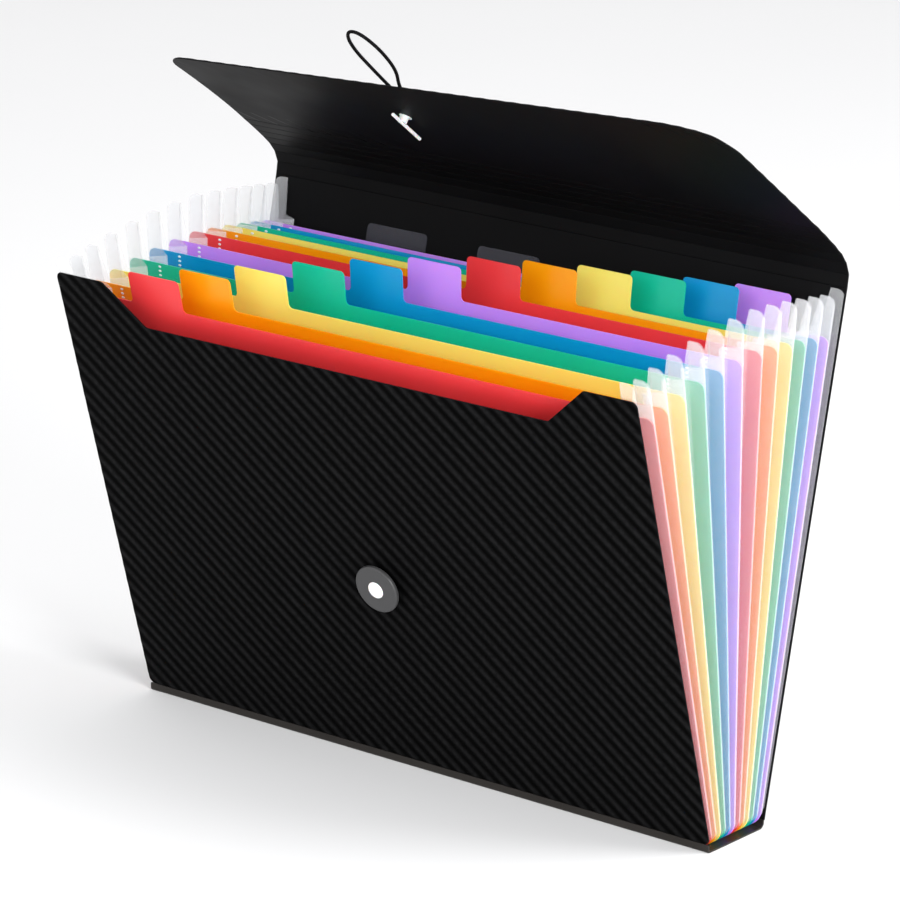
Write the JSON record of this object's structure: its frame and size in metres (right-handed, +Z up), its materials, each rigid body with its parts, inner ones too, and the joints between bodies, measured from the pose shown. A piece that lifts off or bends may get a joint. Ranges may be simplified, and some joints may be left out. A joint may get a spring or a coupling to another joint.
{
  "type": "accordion file folder",
  "caption": "Expanding file folder with coloured tabbed dividers between pleated frosted sides, notched front, scored closing flap, elastic loop and button.",
  "frame": {"origin": "centre of the base's underside, where the folder stands on the table", "axes": "+Z up, +X to the right as seen from the front, the front cover faces -Y"},
  "size_m": [0.33, 0.1561, 0.3432],
  "materials": {
    "black_sheet": "embossed satin polypropylene",
    "red_sheet": "smooth translucent polypropylene",
    "orange_sheet": "smooth translucent polypropylene",
    "yellow_sheet": "smooth translucent polypropylene",
    "green_sheet": "smooth translucent polypropylene",
    "blue_sheet": "smooth translucent polypropylene",
    "purple_sheet": "smooth translucent polypropylene",
    "smoke_sheet": "smooth smoke polypropylene",
    "frosted_film": "frosted translucent polypropylene film",
    "grey_button": "moulded satin plastic",
    "white_rivet": "moulded plastic",
    "grey_washer": "moulded plastic",
    "white_eyelet": "moulded plastic",
    "white_toggle": "moulded plastic",
    "black_elastic": "braided covered elastic"
  },
  "bodies": {
    "base": {"base_floor": "black_sheet", "front_fold": "black_sheet", "rear_fold": "black_sheet", "left_gusset": "frosted_film", "right_gusset": "frosted_film"},
    "front": {"front_cover": "black_sheet", "closure_button": "grey_button", "button_rivet": "white_rivet", "rivet_washer": "grey_washer"},
    "divider_1": {"divider_1_red": "red_sheet"},
    "divider_2": {"divider_2_orange": "orange_sheet"},
    "divider_3": {"divider_3_yellow": "yellow_sheet"},
    "divider_4": {"divider_4_green": "green_sheet"},
    "divider_5": {"divider_5_blue": "blue_sheet"},
    "divider_6": {"divider_6_purple": "purple_sheet"},
    "divider_7": {"divider_7_red": "red_sheet"},
    "divider_8": {"divider_8_orange": "orange_sheet"},
    "divider_9": {"divider_9_yellow": "yellow_sheet"},
    "divider_10": {"divider_10_green": "green_sheet"},
    "divider_11": {"divider_11_blue": "blue_sheet"},
    "divider_12": {"divider_12_purple": "purple_sheet"},
    "back": {"back_cover": "black_sheet", "rear_sheet": "smoke_sheet"},
    "strip_1": {"score_strip_1": "black_sheet"},
    "strip_2": {"score_strip_2": "black_sheet"},
    "strip_3": {"score_strip_3": "black_sheet"},
    "strip_4": {"score_strip_4": "black_sheet"},
    "strip_5": {"score_strip_5": "black_sheet"},
    "strip_6": {"score_strip_6": "black_sheet"},
    "strip_7": {"score_strip_7": "black_sheet"},
    "flap": {"flap": "black_sheet", "flap_eyelet": "white_eyelet", "loop_toggle": "white_toggle", "elastic_loop": "black_elastic"}
  },
  "joints": [
    {"name": "back_hinge", "type": "hinge", "parent": "base", "child": "back", "pos_m": [0, 0.0206, 0.004], "axis": [1, 0, 0], "range_deg": [-3.58, 13.36], "deforming": ["left_gusset", "right_gusset"]},
    {"name": "front_hinge", "type": "hinge", "parent": "base", "child": "front", "pos_m": [0, -0.0206, 0.004], "axis": [1, 0, 0], "range_deg": [-18.28, 4.93]},
    {"name": "divider_1_hinge", "type": "hinge", "parent": "base", "child": "divider_1", "pos_m": [0, -0.01743, 0.0013], "axis": [1, 0, 0], "range_deg": [-16.15, 4.36]},
    {"name": "divider_2_hinge", "type": "hinge", "parent": "base", "child": "divider_2", "pos_m": [0, -0.01426, 0.0013], "axis": [1, 0, 0], "range_deg": [-14.02, 3.79]},
    {"name": "divider_3_hinge", "type": "hinge", "parent": "base", "child": "divider_3", "pos_m": [0, -0.01109, 0.0013], "axis": [1, 0, 0], "range_deg": [-11.22, 3.04]},
    {"name": "divider_4_hinge", "type": "hinge", "parent": "base", "child": "divider_4", "pos_m": [0, -0.00792, 0.0013], "axis": [1, 0, 0], "range_deg": [-7.97, 2.17]},
    {"name": "divider_5_hinge", "type": "hinge", "parent": "base", "child": "divider_5", "pos_m": [0, -0.00475, 0.0013], "axis": [1, 0, 0], "range_deg": [-4.84, 1.33]},
    {"name": "divider_6_hinge", "type": "hinge", "parent": "base", "child": "divider_6", "pos_m": [0, -0.00159, 0.0013], "axis": [1, 0, 0], "range_deg": [-1.7, 0.49]},
    {"name": "divider_7_hinge", "type": "hinge", "parent": "base", "child": "divider_7", "pos_m": [0, 0.00159, 0.0013], "axis": [1, 0, 0], "range_deg": [-0.49, 1.7]},
    {"name": "divider_8_hinge", "type": "hinge", "parent": "base", "child": "divider_8", "pos_m": [0, 0.00475, 0.0013], "axis": [1, 0, 0], "range_deg": [-1.18, 4.28]},
    {"name": "divider_9_hinge", "type": "hinge", "parent": "base", "child": "divider_9", "pos_m": [0, 0.00792, 0.0013], "axis": [1, 0, 0], "range_deg": [-1.81, 6.63]},
    {"name": "divider_10_hinge", "type": "hinge", "parent": "base", "child": "divider_10", "pos_m": [0, 0.01109, 0.0013], "axis": [1, 0, 0], "range_deg": [-2.35, 8.65]},
    {"name": "divider_11_hinge", "type": "hinge", "parent": "base", "child": "divider_11", "pos_m": [0, 0.01426, 0.0013], "axis": [1, 0, 0], "range_deg": [-2.83, 10.44]},
    {"name": "divider_12_hinge", "type": "hinge", "parent": "base", "child": "divider_12", "pos_m": [0, 0.01743, 0.0013], "axis": [1, 0, 0], "range_deg": [-3.25, 12.01]},
    {"name": "score_1", "type": "hinge", "parent": "back", "child": "strip_1", "pos_m": [0, 0.06999, 0.23784], "axis": [1, 0, 0], "range_deg": [-37, 0]},
    {"name": "score_2", "type": "hinge", "parent": "strip_1", "child": "strip_2", "pos_m": [0, 0.07081, 0.24379], "axis": [1, 0, 0], "range_deg": [-37.05, 0.05]},
    {"name": "score_3", "type": "hinge", "parent": "strip_2", "child": "strip_3", "pos_m": [0, 0.06856, 0.24935], "axis": [1, 0, 0], "range_deg": [-37.05, 0.05]},
    {"name": "score_4", "type": "hinge", "parent": "strip_3", "child": "strip_4", "pos_m": [0, 0.06469, 0.25394], "axis": [1, 0, 0], "range_deg": [-37.05, 0.05]},
    {"name": "score_5", "type": "hinge", "parent": "strip_4", "child": "strip_5", "pos_m": [0, 0.06016, 0.25787], "axis": [1, 0, 0], "range_deg": [-37.05, 0.05]},
    {"name": "score_6", "type": "hinge", "parent": "strip_5", "child": "strip_6", "pos_m": [0, 0.05549, 0.26164], "axis": [1, 0, 0], "range_deg": [-37.05, 0.05]},
    {"name": "score_7", "type": "hinge", "parent": "strip_6", "child": "strip_7", "pos_m": [0, 0.05076, 0.26532], "axis": [1, 0, 0], "range_deg": [-9.69, 36.05]},
    {"name": "score_8", "type": "hinge", "parent": "strip_7", "child": "flap", "pos_m": [0, 0.04596, 0.26893], "axis": [1, 0, 0], "range_deg": [-9.69, 36.05]}
  ],
  "couplings": [
    {"joint": "front_hinge", "follows": "back_hinge", "ratio": -1.3648},
    {"joint": "divider_1_hinge", "follows": "back_hinge", "ratio": -1.2055},
    {"joint": "divider_2_hinge", "follows": "back_hinge", "ratio": -1.0461},
    {"joint": "divider_3_hinge", "follows": "back_hinge", "ratio": -0.83648},
    {"joint": "divider_4_hinge", "follows": "back_hinge", "ratio": -0.59329},
    {"joint": "divider_5_hinge", "follows": "back_hinge", "ratio": -0.35849},
    {"joint": "divider_6_hinge", "follows": "back_hinge", "ratio": -0.12369},
    {"joint": "divider_7_hinge", "follows": "back_hinge", "ratio": 0.12369},
    {"joint": "divider_8_hinge", "follows": "back_hinge", "ratio": 0.31656},
    {"joint": "divider_9_hinge", "follows": "back_hinge", "ratio": 0.49266},
    {"joint": "divider_10_hinge", "follows": "back_hinge", "ratio": 0.64361},
    {"joint": "divider_11_hinge", "follows": "back_hinge", "ratio": 0.77778},
    {"joint": "divider_12_hinge", "follows": "back_hinge", "ratio": 0.89518},
    {"joint": "score_2", "follows": "score_1", "ratio": 1},
    {"joint": "score_3", "follows": "score_1", "ratio": 1},
    {"joint": "score_4", "follows": "score_1", "ratio": 1},
    {"joint": "score_5", "follows": "score_1", "ratio": 1},
    {"joint": "score_6", "follows": "score_1", "ratio": 1},
    {"joint": "score_7", "follows": "back_hinge", "ratio": 2.6954},
    {"joint": "score_8", "follows": "back_hinge", "ratio": 2.6954}
  ]
}
